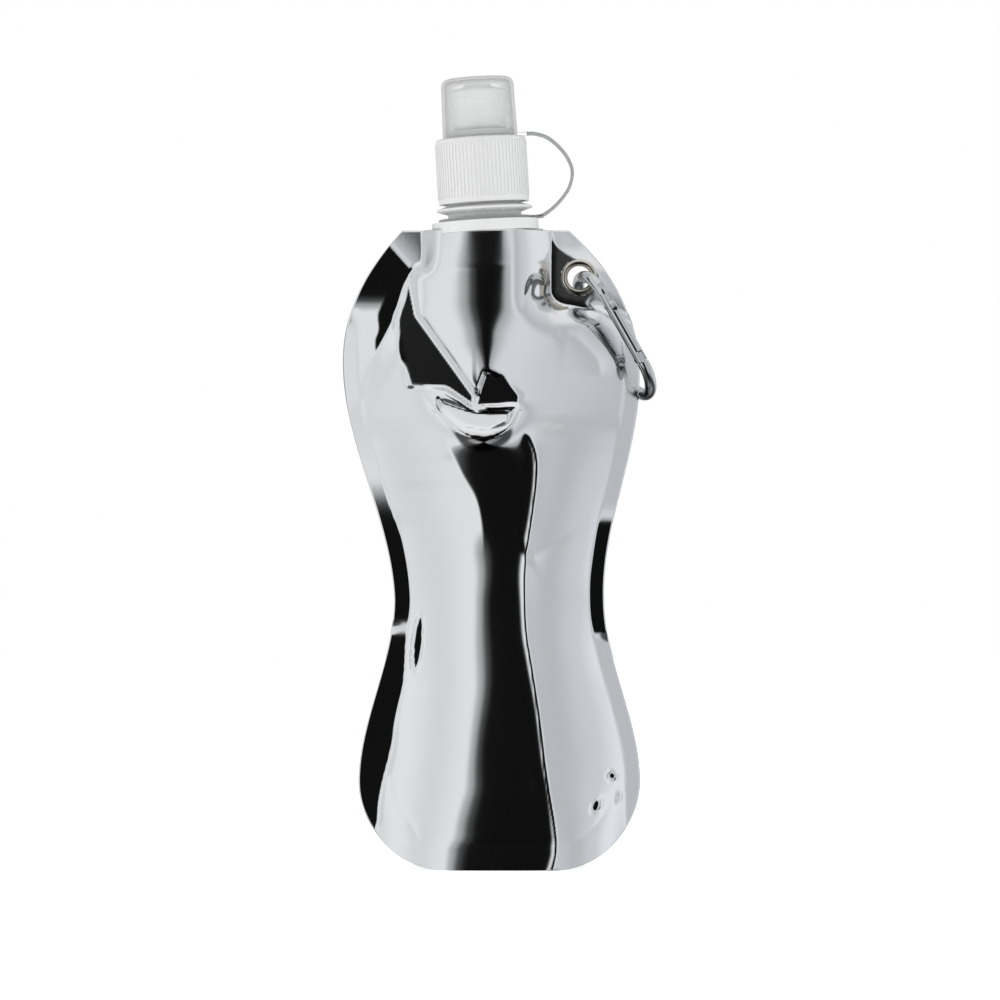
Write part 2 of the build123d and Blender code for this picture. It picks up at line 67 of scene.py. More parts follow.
world = bpy.data.worlds.new("white_studio")
bpy.context.scene.world = world
world.use_nodes = True
sky = world.node_tree
sky.nodes.clear()
direction = sky.nodes.new("ShaderNodeTexCoord")
split = sky.nodes.new("ShaderNodeSeparateXYZ")
sky.links.new(direction.outputs["Generated"], split.inputs[0])


def light_ramp(value, low, high, levels, cool=0.0):
    """Brightness of the studio along one angle or height, from (place, level) pairs, and how much
    bluer the light is on the positive side."""
    turn = sky.nodes.new("ShaderNodeMapRange")
    turn.inputs["From Min"].default_value = low
    turn.inputs["From Max"].default_value = high
    sky.links.new(value, turn.inputs["Value"])
    lights = sky.nodes.new("ShaderNodeValToRGB")
    lights.color_ramp.interpolation = "EASE"
    stops = lights.color_ramp.elements
    while len(stops) < len(levels):
        stops.new(0.5)
    for stop, (place, level) in zip(stops, levels):
        stop.position = (place - low) / (high - low)
        blue = cool if place > 0 else 0
        stop.color = (level * (0.99 - blue), level, level * (1.005 + 2 * blue), 1)
    sky.links.new(turn.outputs[0], lights.inputs[0])
    return lights.outputs["Color"]


def times(value, factor):
    """A channel of the view direction, multiplied."""
    product = sky.nodes.new("ShaderNodeMath")
    product.operation = "MULTIPLY"
    product.inputs[1].default_value = factor
    sky.links.new(value, product.inputs[0])
    return product.outputs[0]


bearing = sky.nodes.new("ShaderNodeMath")
bearing.operation = "ARCTAN2"
sky.links.new(split.outputs["X"], bearing.inputs[0])
sky.links.new(times(split.outputs["Y"], -1), bearing.inputs[1])
degrees = times(bearing.outputs[0], math.degrees(1))
# bearing from the camera's side in degrees, and how bright the studio is there
left_wall = [(-180, 0.5), (-130, 0.65), (-95, 0.86), (-60, 0.74), (-27, 0.84), (-20, 0.42), (-14, 0.06),
             (-9, 0.006)]
right_wall = [(14, 0.004), (17, 0.45), (25, 0.74), (50, 0.54), (80, 0.66), (105, 0.85), (140, 0.6),
              (180, 0.5)]
walls = light_ramp(degrees, -180, 180, left_wall + right_wall, cool=0.012)
# the same by height, as the sine of the elevation: a light overhead, and shade near the floor
overhead = [(-1, 0), (0.5, 0), (0.62, 0.6), (0.8, 0.8), (1, 0.9)]
near_floor = [(-1, 0.5), (-0.8, 0.1), (-0.55, 0.12), (-0.3, 1), (1, 1)]
ceiling = light_ramp(split.outputs["Z"], -1, 1, overhead)
shade_below = light_ramp(split.outputs["Z"], -1, 1, near_floor)


def mixed(kind, first, second):
    """Two colours of the studio's light, joined in full by one blend type."""
    mix = sky.nodes.new("ShaderNodeMix")
    mix.data_type = "RGBA"
    mix.blend_type = kind
    mix.inputs["Factor"].default_value = 1
    sky.links.new(first, mix.inputs["A"])
    sky.links.new(second, mix.inputs["B"])
    return mix.outputs["Result"]


studio = mixed("LIGHTEN", mixed("MULTIPLY", walls, shade_below), ceiling)
straight = sky.nodes.new("ShaderNodeLightPath")
choose = sky.nodes.new("ShaderNodeMix")
choose.data_type = "RGBA"
sky.links.new(straight.outputs["Is Camera Ray"], choose.inputs["Factor"])
sky.links.new(studio, choose.inputs["A"])
choose.inputs["B"].default_value = (1, 1, 1, 1)
glow = sky.nodes.new("ShaderNodeBackground")
sky.links.new(choose.outputs["Result"], glow.inputs["Color"])
sky_out = sky.nodes.new("ShaderNodeOutputWorld")
sky.links.new(glow.outputs[0], sky_out.inputs[0])

# two large soft lamps, in front and behind, that the mirror-like film doesn't show
for name, side, watts in (("front_lamp", -1, 5.5), ("rear_lamp", 1, 6)):
    lamp_data = bpy.data.lights.new(name, "AREA")
    lamp_data.size = 1.6
    lamp_data.energy = watts
    lamp = bpy.data.objects.new(name, lamp_data)
    lamp.location = (-0.5 * side, 2.2 * side, 1.3)
    lamp.rotation_euler = (Vector((0, 0, 0.2)) - lamp.location).to_track_quat("-Z", "Y").to_euler()
    lamp.visible_camera = False
    lamp.visible_glossy = False
    bpy.context.scene.collection.objects.link(lamp)


def made_from(bm, name):
    """A new object, at the origin, from a finished bmesh."""
    mesh = bpy.data.meshes.new(name)
    bm.to_mesh(mesh)
    bm.free()
    piece = bpy.data.objects.new(name, mesh)
    bpy.context.scene.collection.objects.link(piece)
    return piece


def finish_name(name, **sockets):
    """A Principled material with the given socket values; returns it with its tree and shader."""
    material = bpy.data.materials.new(name)
    material.use_nodes = True
    tree = material.node_tree
    shader = tree.nodes["Principled BSDF"]
    for socket, value in sockets.items():
        shader.inputs[socket.replace("_", " ")].default_value = value
    return material, tree, shader


bm = bmesh.new()
bmesh.ops.create_grid(bm, x_segments=1, y_segments=1, size=2.5)
floor = made_from(bm, "floor")
floor_paint, _, floor_shader = finish_name("floor_paint", Roughness=0.9)
floor_shader.inputs["Base Color"].default_value = (0.93, 0.93, 0.93, 1)
floor_shader.inputs["Emission Color"].default_value = (1, 1, 1, 1)
floor_shader.inputs["Emission Strength"].default_value = 0.8
floor.data.materials.append(floor_paint)
floor.visible_glossy = False

# ---------------------------------------------------------------- pouch film
# Two panels of metallised laminate, heat-welded round the rim. They are bright like a mirror, and
# the air inside and the folding of the neck give them their soft bulges, folds and sharp buckles.
FILM_T = 0.30
SEAM = 5.0
FOOT_HALF = 17.6
HIP_Z, HIP_HALF = 28.5, 47.2
WAIST_Z, WAIST_HALF = 89.5, 35.2
CHEST_Z, CHEST_HALF = 166.5, 49.6
FILM_TOP = 213.1
NECK_SHIFT, SPOUT_Z = -3.85, 201.5
SPOUT_LEAN = math.radians(3.3)
SHOULDER_RISE, SHOULDER_POWER, SHOULDER_DROP = 47, 2.18, 22.2  # curve of the rim from the chest upward
EYELET = (26.8, 197.3)
EYELET_CUT = 5.0  # radius of the hole in the film, hidden under the eyelet's bead
LEFT_TURN = (-36.2, 206.9)  # on the crease that turns the top of the left ear back
COLUMNS, FOOT_ROWS, BODY_ROWS = 150, 44, 250
DARK_SLOPE = 0.13  # the film mirrors the dark gap where it leans sideways by less than this


def ease(t):
    """Cubic ease from 0 to 1."""
    return t * t * (3 - 2 * t)


def stations(z, *pairs):
    """Eases from one (z, value) pair to the next, for an array of heights."""
    z = np.asarray(z, float)
    out = np.full(z.shape, float(pairs[0][1]))
    for (z0, v0), (z1, v1) in zip(pairs, pairs[1:]):
        out = np.where(z > z0, v0 + (v1 - v0) * ease(np.clip((z - z0) / (z1 - z0), 0, 1)), out)
    return out


def centre_line(z):
    """The film leans sideways above the waist, and follows the spout's lean above its base."""
    z = np.asarray(z, float)
    low = np.clip((z - WAIST_Z) / (SPOUT_Z - WAIST_Z), 0, 1) * NECK_SHIFT
    return low - np.clip(z - SPOUT_Z, 0, None) * math.tan(SPOUT_LEAN)


def half_width(z):
    """Half width of the film above the foot curve."""
    sides = stations(z, (HIP_Z, HIP_HALF), (WAIST_Z, WAIST_HALF), (CHEST_Z, CHEST_HALF))
    above_chest = np.clip((np.asarray(z, float) - CHEST_Z) / SHOULDER_RISE, 0, None)
    return sides - above_chest**SHOULDER_POWER * SHOULDER_DROP


def foot_curve(t):
    """Half width and height of the rounded lower corner, for t from 0 at the foot to 1 at the hip."""
    s = 1 - t
    half = FOOT_HALF * (s**3 + 6 * s * s * t) + HIP_HALF * (3 * s * t * t + t**3)
    return half, HIP_Z * (1.5 * s * t * t + t**3)


def rim_half(z):
    """Half width of the film at any height."""
    t = np.linspace(0, 1, 200)
    half, height = foot_curve(t)
    z = np.asarray(z, float)
    return np.where(z < HIP_Z, np.interp(z, height, half), half_width(z))


def along(x, z, points):
    """Distance to a line through the points, the side of it (+ on the right going down), and how far
    along the line the nearest place is, from 0 to 1."""
    points = np.array(points, float)
    steps = np.diff(points, axis=0)
    lengths = np.hypot(steps[:, 0], steps[:, 1])
    start = np.concatenate([[0], np.cumsum(lengths)])
    best = np.full(np.shape(x), 1e9)
    side, place = np.zeros_like(best), np.zeros_like(best)
    for i, (step, length) in enumerate(zip(steps, lengths)):
        dx, dz = x - points[i, 0], z - points[i, 1]
        t = np.clip((dx * step[0] + dz * step[1]) / length**2, 0, 1)
        distance = np.hypot(dx - t * step[0], dz - t * step[1])
        nearer = distance < best
        side = np.where(nearer, np.sign(dz * step[0] - dx * step[1]), side)
        place = np.where(nearer, (start[i] + t * length) / start[-1], place)
        best = np.minimum(best, distance)
    return best, side, place


def smooth_line(points, count=40):
    """A Catmull-Rom curve through the points."""
    p = np.array([points[0]] + list(points) + [points[-1]], float)
    out = []
    per = max(2, count // (len(points) - 1))
    for a, b, c, d in zip(p, p[1:], p[2:], p[3:]):
        for t in np.linspace(0, 1, per, endpoint=False):
            bend = (2 * a - 5 * b + 4 * c - d) * t**2 + (3 * b - a - 3 * c + d) * t**3
            out.append(0.5 * (2 * b + (c - a) * t + bend))
    out.append(p[-1])
    return np.array(out)


def ends(t, start, stop):
    """Fades in over the first share of a line and out over the last."""
    first = ease(np.clip(t / start, 0, 1)) if start else 1.0
    last = ease(np.clip((1 - t) / stop, 0, 1)) if stop else 1.0
    return first * last


def ridge(x, z, points, height, width, fade=(0.2, 0.2)):
    """A soft ridge, or a valley where height is negative."""
    d, side, t = along(x, z, smooth_line(points))
    return height * np.exp(-((d / width) ** 2)) * ends(t, *fade)


def crease(x, z, points, height, left, right, fade=(0.15, 0.15)):
    """A sharp ridge that falls away over the left width and the right width."""
    d, side, t = along(x, z, smooth_line(points))
    width = np.where(side > 0, right, left)
    return height * np.exp(-d / width) * ends(t, *fade)


def dimple(x, z, at, height, size, turn=0.0):
    """An oval bump, or a dent where height is negative."""
    c, s = math.cos(math.radians(turn)), math.sin(math.radians(turn))
    dx, dz = x - at[0], z - at[1]
    u, v = (dx * c + dz * s) / size[0], (-dx * s + dz * c) / size[1]
    return height * np.exp(-(u * u + v * v))


def facet(out, x, z, corners, level, across, upward, soft):
    """Presses the film onto a plane inside an outline. The level is the plane's height at the first
    corner, and across and upward are its slopes."""
    distance = np.full(np.shape(x), 1e9)
    inside = np.zeros(np.shape(x), bool)
    for (x0, z0), (x1, z1) in zip(corners, corners[1:] + corners[:1]):
        dx, dz = x1 - x0, z1 - z0
        t = np.clip(((x - x0) * dx + (z - z0) * dz) / (dx * dx + dz * dz), 0, 1)
        distance = np.minimum(distance, np.hypot(x - x0 - t * dx, z - z0 - t * dz))
        if dz:
            inside ^= ((z0 > z) != (z1 > z)) & (x < x0 + (z - z0) * dx / dz)
    plane = level + across * (x - corners[0][0]) + upward * (z - corners[0][1])
    return out + (plane - out) * ease(np.clip(inside * distance / soft, 0, 1))


def flat_spot(out, x, z, at, size, turn=0.0):
    """Presses a small oval of the film level."""
    c, s = math.cos(math.radians(turn)), math.sin(math.radians(turn))
    dx, dz = x - at[0], z - at[1]
    reach = np.hypot((dx * c + dz * s) / size[0], (-dx * s + dz * c) / size[1])
    level = out[np.argmin(reach)]
    return out + (level - out) * ease(np.clip((1 - reach) / 0.3, 0, 1))


def chamber_halves(z):
    """Half widths of the air chamber left and right, inside the weld of the rim."""
    half = stations(z, (HIP_Z, HIP_HALF - SEAM), (WAIST_Z, WAIST_HALF - SEAM), (CHEST_Z, CHEST_HALF - SEAM))
    half = np.where(z < CHEST_Z, half, np.minimum(half, rim_half(z) - 2.5))
    flattened = stations(z, (4, 0), (18, 2.0), (40, 5.2), (56, 4.0), (80, 0.4), (110, 0.8), (122, 0))
    return half - flattened, half


# edges of the flat welded ears, which end beside the spout
LEFT_EAR = [(-24.4, 216), (-24.8, 203), (-28, 200.5), (-30.4, 197), (-31.4, 192), (-33.6, 186.5),
            (-38.0, 178), (-42.6, 170), (-54, 150)]
RIGHT_EAR = [(17.4, 216), (17.0, 195), (17.6, 191), (20.6, 188.6), (27, 187.4), (34, 185.8), (48, 180)]


def beside_ears(x, z):
    """How far a place is from each ear's edge; the ear itself has negative distances."""
    left, left_side, _ = along(x, z, smooth_line(LEFT_EAR))
    right, right_side, _ = along(x, z, smooth_line(RIGHT_EAR))
    return left * left_side, -right * right_side


def power_for(dark, half, depth):
    """The power of the bulge's curve that keeps the dark band this wide on one side."""
    flattest, fullest = np.full(dark.shape, 1.08), np.full(dark.shape, 5.0)
    for _ in range(24):
        power = (flattest + fullest) / 2
        narrow = half * (DARK_SLOPE * half / (depth * power)) ** (1 / (power - 1)) < dark
        flattest, fullest = np.where(narrow, power, flattest), np.where(narrow, fullest, power)
    return flattest


def bulge(x, z, back=False):
    """How far the film stands out from the weld plane, before its folds and dents."""
    middle = centre_line(z)
    left_edge, right_edge = chamber_halves(z)
    depth = np.interp(z, (0, 24, 90, 150, SPOUT_Z), (21.6, 21.2, 12.4, 14.7, 13.5))
    # half width of the flattest part down the middle; in front it wanders from side to side
    if back:
        dark = stations(z, (0, 12), (HIP_Z, 10), (WAIST_Z, 5), (140, 7), (SPOUT_Z, 4.6))
    else:
        low = stations(z, (0, -14), (7, -13.3), (12, -11), (30, -7.5), (64, -4.5), (87, -5), (99, -4),
                       (112, -5), (123, -6.5), (133, -9.3), (142, -12), (152, -4.5), (165.7, -4.5),
                       (177, -6.8), (190, -9.2), (SPOUT_Z, -9.5))
        high = stations(z, (0, 17), (8, 17.5), (12, 16), (30, 11.3), (64, 9.0), (87, 7.3), (99, 8.3),
                        (133, 9.6), (142, 7), (152, -3.5), (165.7, -3.6), (177, -2), (188, 0.3),
                        (SPOUT_Z, 1.0))
        peak = (low + high) / 2
        left_edge, right_edge = left_edge + peak - middle, right_edge - peak + middle
        middle = peak
        dark = (high - low) / 2
    half = np.where(x < middle, left_edge, right_edge)
    dark = np.clip(dark, 0.3, None)
    share = np.clip(np.abs(x - middle) / half, 0, 1)
    out = depth * (1 - share ** power_for(dark, half, depth))
    left, right = beside_ears(x, z)
    for gap, room in ((left, stations(z, (186, 9), (199, 5.5))), (right, 13.0)):
        out = out * (1 - (1 - np.clip(gap / room, 0, 1)) ** 2)
    return out


def above_left_crease(x, z):
    """How far a place is above the slanting crease that turns the top of the left ear back."""
    return np.clip((x - LEFT_TURN[0]) * 0.745 + (z - LEFT_TURN[1]) * 0.667, 0, None)


def weld_bend(x, z):
    """How far the welded rim, front and back together, curls away behind the middle plane."""
    offset = x - centre_line(z)
    left_tilt = stations(z, (2, 0.3), (12, 0.02), (70, 0.0), (77, 0.05), (80, 0.3), (83, 0.05), (86, 0),
                         (108, 0.0), (150, 0.45), (178, 0.45), (188, 0.0))
    right_tilt = stations(z, (30, 0.5), (74, 0.5), (80, 0.03), (112, 0.02), (124, 0.45), (178, 0.45),
                          (188, 0.1))
    left_half, right_half = chamber_halves(z)
    bend = np.clip(-offset - left_half, 0, None) * left_tilt
    bend += np.clip(offset - right_half, 0, None) * right_tilt
    left, right = beside_ears(x, z)
    # the right ear curls from a line that passes outside the eyelet, where the film is gripped flat
    reach = np.where(z < EYELET[1], 15.0, 8.0)
    past_line = x - 16 - 17.5 * np.exp(-(((z - EYELET[1]) / reach) ** 2))
    bend += 0.35 * np.clip(past_line, 0, None) * ease(np.clip(-right / 3, 0, 1))
    # the left ear is turned back at its top, and curls past a flat strip lower down
    turned = above_left_crease(x, z)
    bend += 0.36 * turned * (1 - turned / 24) * ease(np.clip(-left / 1.5, 0, 1))
    flat_width = stations(z, (160, -4.0), (168, -1.5), (171, 0.0), (178, 2.5), (186, 5.5))
    bend += np.clip(-left - flat_width, 0, None) * stations(z, (148, 0), (158, 0.4), (180, 0.36), (196, 0))
    return bend


def front_folds(x, z):
    """The folds, creases and dents of the front panel."""
    # sharp fold to the right of the middle, from the chest to the foot
    main_fold = [(7.3, 146.7), (11.6, 140.4), (12.6, 131.8), (11, 117.8), (9.2, 106.2), (8.4, 96.2),
                 (8.9, 79.6), (10.4, 69.6), (13.2, 52), (15.4, 34), (18.9, 10.1), (17.3, -0.2)]
    out = crease(x, z, main_fold, 1.1, 1.8, 5.0, (0.05, 0))
    # edge of the flat middle, from the chest to the waist
    flat_edge = [(-20, 147), (-17.4, 141.5), (-12, 131), (-7.6, 123.2), (-5.6, 114.4), (-5, 104)]
    out += crease(x, z, flat_edge, 0.9, 5.0, 12.0, (0.2, 0.35))
    # buckled lip under the point where the neck's folds meet
    lip = [(-27.9, 162.4), (-19.3, 151.1), (-12, 144.7), (-4, 143.1), (2.7, 146.1), (6, 151.7), (6.6, 156.4)]
    out += crease(x, z, lip, 2.6, 1.9, 5.5, (0.25, 0.1))
    # shallow dents right of the middle: one in the chest, and one below the spout
    chest_dent = [(17.9, 177.6), (24, 177.5), (28.6, 174.3), (33, 169), (33.6, 163)]
    out += crease(x, z, chest_dent, -0.6, 3.6, 3.4, (0.2, 0.2))
    out += crease(x, z, [(11.4, 199), (8.8, 191), (7, 183.6)], -0.5, 1.1, 1.9, (0.35, 0.3))
    # slight valley that fans out from the waist
    out += crease(x, z, [(9, 102.5), (18, 108), (32, 118)], -0.6, 3.0, 8.0, (0.1, 0.6))
    return out


def front_flats(out, x, z):
    """The front panel's facets between sharp folds, and its small flat marks."""
    # between the left ear and the tube below the neck
    beside_tube = [(-31.8, 197), (-28.6, 198), (-26, 185.5), (-16.8, 172.5), (-4.0, 154.5), (-8.0, 151.5),
                   (-18, 158.5), (-31, 160), (-34.5, 174), (-35.7, 183), (-33.4, 190)]
    out = facet(out, x, z, beside_tube, 0.2, 0.07, -0.21, 1.8)
    # the hollow between that facet and the buckled lip
    hollow = [(-8, 153.8), (6.6, 153.6), (3.6, 147.4), (-4, 144.4), (-12, 146), (-20.5, 152.5), (-21, 158)]
    out = facet(out, x, z, hollow, 11.6, 0.0, -0.45, 2.0)
    # under the point where the neck's folds meet
    under_point = [(-5.2, 166.4), (1.2, 164.8), (8.2, 157.6), (6.8, 154.6), (-0.5, 153.2), (-9.6, 152.8),
                   (-7.4, 160.6)]
    out = facet(out, x, z, under_point, 13.2, 0.05, 0.1, 1.5)
    # marks near the weld of the foot, and left of the waist
    out = flat_spot(out, x, z, (37.6, 30.7), (2.1, 2.0))
    out = flat_spot(out, x, z, (32.2, 21.1), (1.9, 3.3), -35)
    out = flat_spot(out, x, z, (39.4, 23.0), (1.1, 2.3), -25)
    return flat_spot(out, x, z, (-27.1, 75), (2.1, 11.5), -6)


def weld_lines(x, z):
    """The step along the gusset's weld in the foot, and the one along the spout's weld."""
    foot = [(-36.9, 41), (-35.9, 24.7), (-29.6, 15.8), (-26.9, 10.8), (-23.3, 9.1), (18.6, 8.8), (26.3, 10.1),
            (31.9, 14.4), (36.2, 20.8), (41.9, 32.7)]
    spout = [(-25, 199.8), (-3.8, 200.6), (18, 201.8)]
    out = crease(x, z, foot, -0.45, 1.5, 1.1, (0.1, 0.1))
    return out + crease(x, z, spout, -0.35, 0.6, 0.6, (0.02, 0.02))


def ripple(x, z):
    """Faint unevenness of the stretched film."""
    waves = np.sin(x / 4.1 + z / 9.3 + 1.0) * np.sin(z / 7.7 - x / 15.0) + 0.6 * np.sin(x / 2.3 - z / 5.9)
    return 0.012 * waves + 0.05 * np.sin(z / 11.0 + np.sin(x / 8.0)) * np.cos(x / 6.3 + 0.7)


def weld_share(x, z):
    """1 on the embossed, matt parts of the weld and 0 on the bright film."""
    offset = x - centre_line(z)
    left_matt = stations(z, (8, 0.4), (14, 0), (76, 0), (80, 0.5), (84, 0), (106, 0), (150, 0.4), (178, 0.4),
                         (188, 0.0))
    right_matt = stations(z, (8, 0.3), (74, 0.3), (80, 0), (112, 0), (122, 0.3), (180, 0.3), (188, 0))
    left_half, right_half = chamber_halves(z)
    rim = ease(np.clip((-offset - left_half) / 0.8, 0, 1)) * left_matt
    rim += ease(np.clip((offset - right_half) / 0.8, 0, 1)) * right_matt
    left, right = beside_ears(x, z)
    left_ear = ease(np.clip(-left / 2, 0, 1)) * ease(np.clip(above_left_crease(x, z) / 3, 0, 1))
    ears = ease(np.clip(-right / 3, 0, 1)) * 0.4 + left_ear * 0.6
    collar = ease(np.clip((z - 200) / 1.5, 0, 1)) * (np.abs(offset) < 21) * 0.12
    return np.clip(np.maximum(np.maximum(rim, ears), collar), 0, 1)


def panel(name, sign, folds, flats=None):
    """One panel as a sheet with its thickness, in front (sign -1) or behind (sign 1)."""
    bm = bmesh.new()
    rows = FOOT_ROWS + BODY_ROWS
    bmesh.ops.create_grid(bm, x_segments=COLUMNS, y_segments=rows, size=1)
    flat = np.array([v.co for v in bm.verts])
    across, up = flat[:, 0], (flat[:, 1] + 1) / 2 * rows
    foot_half, foot_z = foot_curve(np.clip(up / FOOT_ROWS, 0, 1))
    body_z = HIP_Z + (FILM_TOP - HIP_Z) * np.clip((up - FOOT_ROWS) / BODY_ROWS, 0, 1)
    in_foot = up <= FOOT_ROWS
    z = np.where(in_foot, foot_z, body_z)
    half = np.where(in_foot, foot_half, half_width(body_z))
    x = centre_line(z) + across * half
    left, right = beside_ears(x, z)
    left_half, right_half = chamber_halves(z)
    offset = x - centre_line(z)
    room = np.minimum(np.minimum(left_half + offset, right_half - offset), np.minimum(left, right))
    inside = ease(np.clip(room / 4, 0, 1))
    out = bulge(x, z, back=sign > 0) + (folds(x, z) + weld_lines(x, z) + ripple(x, z)) * inside
    if flats:
        out = flats(out, x, z)
    out = np.maximum(out, 0.5 * FILM_T)
    y = sign * out + weld_bend(x, z)
    for v, place in zip(bm.verts, zip(x * MM, y * MM, z * MM)):
        v.co = place
    matt = bm.verts.layers.float.new("weld")
    for v, share in zip(bm.verts, weld_share(x, z)):
        v[matt] = share
    from_eyelet = np.hypot(x - EYELET[0], z - EYELET[1])
    punched = [v for v, distance in zip(bm.verts, from_eyelet) if distance < EYELET_CUT]
    bmesh.ops.delete(bm, geom=punched, context="VERTS")
    bmesh.ops.recalc_face_normals(bm, faces=bm.faces)
    if sum(f.normal.y for f in bm.faces) * sign < 0:
        bmesh.ops.reverse_faces(bm, faces=bm.faces)
    bmesh.ops.solidify(bm, geom=bm.faces[:], thickness=-FILM_T * MM)
    for v in bm.verts:
        v.co.z = max(v.co.z, 0)
    for f in bm.faces:
        f.smooth = True
    return made_from(bm, name)


def back_folds(x, z):
    """The folds of the back panel: long soft buckles."""
    out = crease(x, z, [(-4, 190), (-9, 168), (-14, 148), (-9, 126)], -1.4, 5.0, 3.0, (0.3, 0.3))
    out += crease(x, z, [(-3, 188), (6, 170), (14, 150), (11, 132)], -1.2, 3.0, 5.0, (0.3, 0.3))
    out += crease(x, z, [(-4, 118), (-7, 96), (-6, 72), (-11, 44), (-15, 12)], 0.8, 4.0, 2.4, (0.2, 0.1))
    out += ridge(x, z, [(-26, 96), (-12, 92), (4, 91), (24, 96)], -1.0, 2.6, (0.3, 0.3))
    out += dimple(x, z, (24, 172), -1.2, (5, 9), 25)
    out += dimple(x, z, (-30, 168), -1.2, (5, 9), -25)
    return out


front_film = panel("front_film", -1, front_folds, front_flats)
back_film = panel("back_film", 1, back_folds)

foil, foil_tree, foil_shader = finish_name("foil", Metallic=1.0)
foil_shader.inputs["Base Color"].default_value = (0.87, 0.875, 0.885, 1)
weld_mark = foil_tree.nodes.new("ShaderNodeAttribute")
weld_mark.attribute_name = "weld"
matting = foil_tree.nodes.new("ShaderNodeMapRange")
matting.inputs["To Min"].default_value = 0.09
matting.inputs["To Max"].default_value = 0.46
foil_tree.links.new(weld_mark.outputs["Fac"], matting.inputs["Value"])
foil_tree.links.new(matting.outputs[0], foil_shader.inputs["Roughness"])
place_on = foil_tree.nodes.new("ShaderNodeTexCoord")
emboss = foil_tree.nodes.new("ShaderNodeTexNoise")
emboss.inputs["Scale"].default_value = 900
foil_tree.links.new(place_on.outputs["Object"], emboss.inputs["Vector"])
emboss_bump = foil_tree.nodes.new("ShaderNodeBump")
emboss_bump.inputs["Distance"].default_value = 0.05 * MM
foil_tree.links.new(weld_mark.outputs["Fac"], emboss_bump.inputs["Strength"])
foil_tree.links.new(emboss.outputs["Fac"], emboss_bump.inputs["Height"])
foil_tree.links.new(emboss_bump.outputs[0], foil_shader.inputs["Normal"])
for piece in (front_film, back_film):
    piece.data.materials.append(foil)
    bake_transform(piece)
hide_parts("front_panel_upper", "front_panel_lower")
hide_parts("back_panel_upper", "back_panel_lower")

# ---------------------------------------------------------------- gusset
# A third piece of the same film closes the foot. It is folded up into an arch and welded to both
# panels along their lower edges, so that the bottle stands on the two skirts under the weld.
GUSSET_WELD_Z, GUSSET_CREST_Z = 9.7, 20.0
GUSSET_HALF = 41.0
GUSSET_ARCH = 0.75  # share of the sheet that arches; the rest is welded to the panels
FULL_ROOM = 14.0  # half width of the foot from which the arch has its full height
PANEL_GAP = 0.35  # from the panels' middle planes to the gusset

bm = bmesh.new()
bmesh.ops.create_grid(bm, x_segments=60, y_segments=56, size=1)
flat = np.array([v.co for v in bm.verts])
gusset_x, v_share = flat[:, 0] * GUSSET_HALF, flat[:, 1]
foot_x, foot_up = foot_curve(np.linspace(0, 1, 200))
floor_z = np.interp(np.abs(gusset_x), foot_x, foot_up) + 0.3
in_weld = np.full_like(gusset_x, 6.0)
room = np.minimum(bulge(gusset_x, in_weld), bulge(gusset_x, in_weld, back=True)) - PANEL_GAP - FILM_T
weld_top = np.maximum(floor_z, GUSSET_WELD_Z)
on_skirt = np.clip((np.abs(v_share) - GUSSET_ARCH) / (1 - GUSSET_ARCH), 0, 1)
on_arch = np.clip(v_share / GUSSET_ARCH, -1, 1)
arch_z = weld_top + (GUSSET_CREST_Z - GUSSET_WELD_Z) * (1 - on_arch**2) * np.clip(room / FULL_ROOM, 0, 1)
gusset_z = np.where(np.abs(v_share) > GUSSET_ARCH, weld_top + (floor_z - weld_top) * on_skirt, arch_z)
for v, place in zip(bm.verts, zip(gusset_x * MM, room * on_arch * MM, gusset_z * MM)):
    v.co = place
gusset_matt = bm.verts.layers.float.new("weld")
for v, skirt in zip(bm.verts, on_skirt):
    v[gusset_matt] = 0.5 * ease(min(1.0, skirt * 4))
bmesh.ops.recalc_face_normals(bm, faces=bm.faces)
bmesh.ops.solidify(bm, geom=bm.faces[:], thickness=FILM_T * MM)
for f in bm.faces:
    f.smooth = True
gusset_film = made_from(bm, "gusset_film")
gusset_film.data.materials.append(foil)
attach(gusset_film, "lower_pouch")
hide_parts("bottom_gusset")


# ---------------------------------------------------------------- spout and tether ring
# The spout is moulded in natural polyethylene, which lets light through, and its boat is welded
# between the panels. The ring of the cap's strap is snapped over the neck above the flange.
def textured(name, colour, tint, scale, rough, bump=0.02, **sockets):
    """A moulded or metal finish: its colour drifts towards a tint, and its gloss and surface vary."""
    material, tree, shader = finish_name(name, **sockets)
    where = tree.nodes.new("ShaderNodeTexCoord")
    grain = tree.nodes.new("ShaderNodeTexNoise")
    grain.inputs["Scale"].default_value = scale
    grain.inputs["Detail"].default_value = 4
    tree.links.new(where.outputs["Object"], grain.inputs["Vector"])
    shade = tree.nodes.new("ShaderNodeMix")
    shade.data_type = "RGBA"
    shade.inputs["A"].default_value = (*colour, 1)
    shade.inputs["B"].default_value = (*tint, 1)
    tree.links.new(grain.outputs["Fac"], shade.inputs["Factor"])
    tree.links.new(shade.outputs["Result"], shader.inputs["Base Color"])
    gloss = tree.nodes.new("ShaderNodeMapRange")
    gloss.inputs["To Min"].default_value, gloss.inputs["To Max"].default_value = rough
    tree.links.new(grain.outputs["Fac"], gloss.inputs["Value"])
    tree.links.new(gloss.outputs[0], shader.inputs["Roughness"])
    relief = tree.nodes.new("ShaderNodeBump")
    relief.inputs["Distance"].default_value = bump * MM
    relief.inputs["Strength"].default_value = 0.5
    tree.links.new(grain.outputs["Fac"], relief.inputs["Height"])
    tree.links.new(relief.outputs[0], shader.inputs["Normal"])
    return material


def finish_nodes(material, *names):
    """Gives CAD nodes their finish."""
    for name in names:
        mesh = bpy.data.objects[name].data
        if not mesh.materials:
            mesh.materials.append(material)
        for slot in bpy.data.objects[name].material_slots:
            slot.material = material


